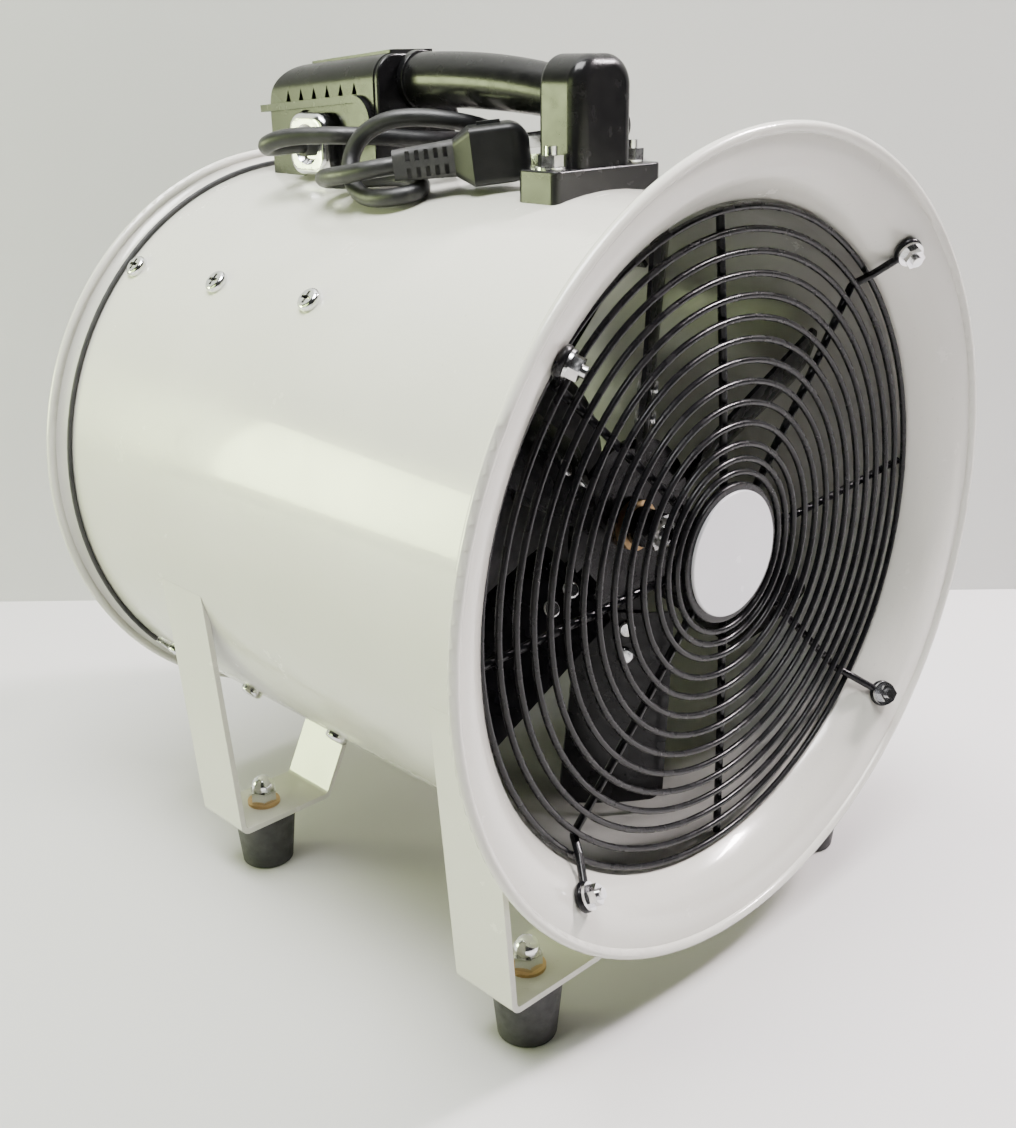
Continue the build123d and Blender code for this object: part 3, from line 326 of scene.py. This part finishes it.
def paint_cad_nodes():
    """Give each CAD node the material of its slot in the record."""
    for part in frame["record"]["subparts"]:
        node = frame["nodes"][part["node"]]
        node.data.materials.clear()
        node.data.materials.append(MATERIALS[part["material_slot"]])


# Cord ------------------------------------------------------------------------------------------

def cord_route():
    """The cord's points from gland to plug boot, in millimetres about the fan axis."""
    return [
        (-38.5, 98, 169.5), (-50, 98, 169.5), (-58.5, 99.5, 168.8), (-64, 94, 171),
        (-62.5, 86, 173.8), (-58, 76.5, 175.5), (-52, 65, 176), (-46, 54, 176), (-34, 46, 175.5),
        (-14, 36, 173), (6, 26, 172), (15, 13, 173), (8, 1.5, 176.5), (-5, 1, 180.5),
        (-18, 8, 183.5), (-29, 19, 185), (-38, 31, 183.5), (-45, 42, 176), (-50, 44.5, 165),
        (-55, 37, 154.5), (-60, 22, 149.4), (-58.5, 7, 150.2), (-52, -1, 151.8), (-44.5, -1.2, 153.4),
        (-37.5, 5.5, 154.8), (-33, 15, 156.2), (-32, 28, 156.8), (-37.5, 42, 156), (-45.5, 52, 155),
        (-55, 56, 155.5), (-63, 50, 157.3), (-66, 38, 159), (-64.5, 24, 161), (-60.4, 14.2, 163.2),
        (-53, 7.5, 164.5)]


def power_cord():
    """One open spline through the route, with the cord's own diameter."""
    points = [Vector((x, y, z)) / 1000 + Vector((0, 0, AXIS_HEIGHT)) for x, y, z in cord_route()]
    curve = bpy.data.curves.new("power_cord_line", "CURVE")
    curve.dimensions = "3D"
    spline = curve.splines.new("NURBS")
    spline.points.add(len(points) - 1)
    for point, place in zip(spline.points, points):
        point.co = (*place, 1)
    spline.order_u = 3
    spline.use_endpoint_u = True
    curve.resolution_u = 16
    curve.bevel_depth = CORD_DIAMETER / 2
    curve.bevel_resolution = 8
    curve.materials.append(cord_sheath())
    cord = bpy.data.objects.new("cord_sheath", curve)
    bpy.context.collection.objects.link(cord)
    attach(cord, "casing")
    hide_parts("power_cord")


# Camera ----------------------------------------------------------------------------------------

def camera_axes():
    """Right, up and forward of the camera."""
    azimuth, elevation, roll = map(math.radians, (CAMERA_AZIMUTH, CAMERA_ELEVATION, CAMERA_ROLL))
    forward = Vector((-math.sin(azimuth) * math.cos(elevation), math.cos(azimuth) * math.cos(elevation),
                      -math.sin(elevation)))
    level = Vector((math.cos(azimuth), math.sin(azimuth), 0))
    up = level.cross(forward)
    right = level * math.cos(roll) + up * math.sin(roll)
    return right, right.cross(forward), forward


def add_camera():
    """Camera at the angle from which the object is seen."""
    right, up, forward = camera_axes()
    data = bpy.data.cameras.new("camera")
    data.sensor_fit = "HORIZONTAL"
    data.sensor_width = SENSOR_WIDTH
    data.lens = LENS
    camera = bpy.data.objects.new("camera", data)
    bpy.context.collection.objects.link(camera)
    turn = Matrix((right, up, -forward)).transposed().to_4x4()
    camera.matrix_world = Matrix.Translation(CAMERA_AT) @ turn
    bpy.context.scene.camera = camera


# Stage -----------------------------------------------------------------------------------------

def stage_plane(name, matrix, shade):
    """Square plane with a faintly clouded matt surface."""
    half = STAGE_SIZE / 2
    mesh = bpy.data.meshes.new(name)
    square = [(-half, -half, 0), (half, -half, 0), (half, half, 0), (-half, half, 0)]
    mesh.from_pydata(square, [], [(0, 1, 2, 3)])
    plane = bpy.data.objects.new(name, mesh)
    bpy.context.collection.objects.link(plane)
    plane.matrix_world = matrix
    graph = Graph(name, shade, 0.6)
    darker = tuple(channel * 0.97 for channel in shade)
    graph.colour(graph.spread(graph.noise(3), darker, shade))
    plane.data.materials.append(graph.material)


def add_backdrop():
    """Pale floor and a pale wall that faces the camera; gives back where the wall stands."""
    azimuth = math.radians(CAMERA_AZIMUTH)
    ahead = Vector((-math.sin(azimuth), math.cos(azimuth), 0))
    wall_at = Vector((CAMERA_AT.x, CAMERA_AT.y, 0)) + ahead * WALL_DISTANCE
    upright = ahead.to_track_quat("Z", "Y").to_matrix().to_4x4()
    stage_plane("floor", Matrix.Identity(4), FLOOR_SHADE)
    stage_plane("wall", Matrix.Translation(wall_at) @ upright, WALL_SHADE)
    return wall_at


def add_light(name, at, towards, size, power, colour=(1, 1, 1)):
    """Rectangular area light: places and sizes in metres, power in watts."""
    data = bpy.data.lights.new(name, "AREA")
    data.shape = "RECTANGLE"
    data.size, data.size_y = size
    data.energy = power
    data.color = colour
    light = bpy.data.objects.new(name, data)
    bpy.context.collection.objects.link(light)
    light.location = at
    light.rotation_euler = (Vector(towards) - Vector(at)).to_track_quat("-Z", "Y").to_euler()


def add_lights(wall_at):
    """A pinkish light high on the right, two weak greenish ones on the left, and one on the wall."""
    add_light("ceiling", at=(1.20, -0.42, 1.30), towards=(0.1, -0.2, 0.1), size=(0.6, 0.6),
              power=420, colour=PINKISH)
    add_light("window", at=(-1.45, 1.45, 0.42), towards=(-0.15, 0, 0.25), size=(0.5, 0.6),
              power=34, colour=GREENISH)
    add_light("doorway", at=(-2.0, 0.5, 0.8), towards=(0, 0, 0.2), size=(1.1, 1.1),
              power=14, colour=DEEPER_GREEN)
    add_light("wall_wash", at=(-0.5, -0.2, 2.4), towards=wall_at + Vector((0, 0, 0.5)),
              size=(1.5, 1.0), power=150)


def add_room_light():
    """Faint even light from all round."""
    world = bpy.data.worlds.new("soft_room")
    world.use_nodes = True
    background = world.node_tree.nodes["Background"]
    background.inputs["Color"].default_value = (*ROOM_SHADE, 1)
    background.inputs["Strength"].default_value = ROOM_STRENGTH
    bpy.context.scene.world = world


paint_cad_nodes()
power_cord()
add_camera()
add_lights(add_backdrop())
add_room_light()
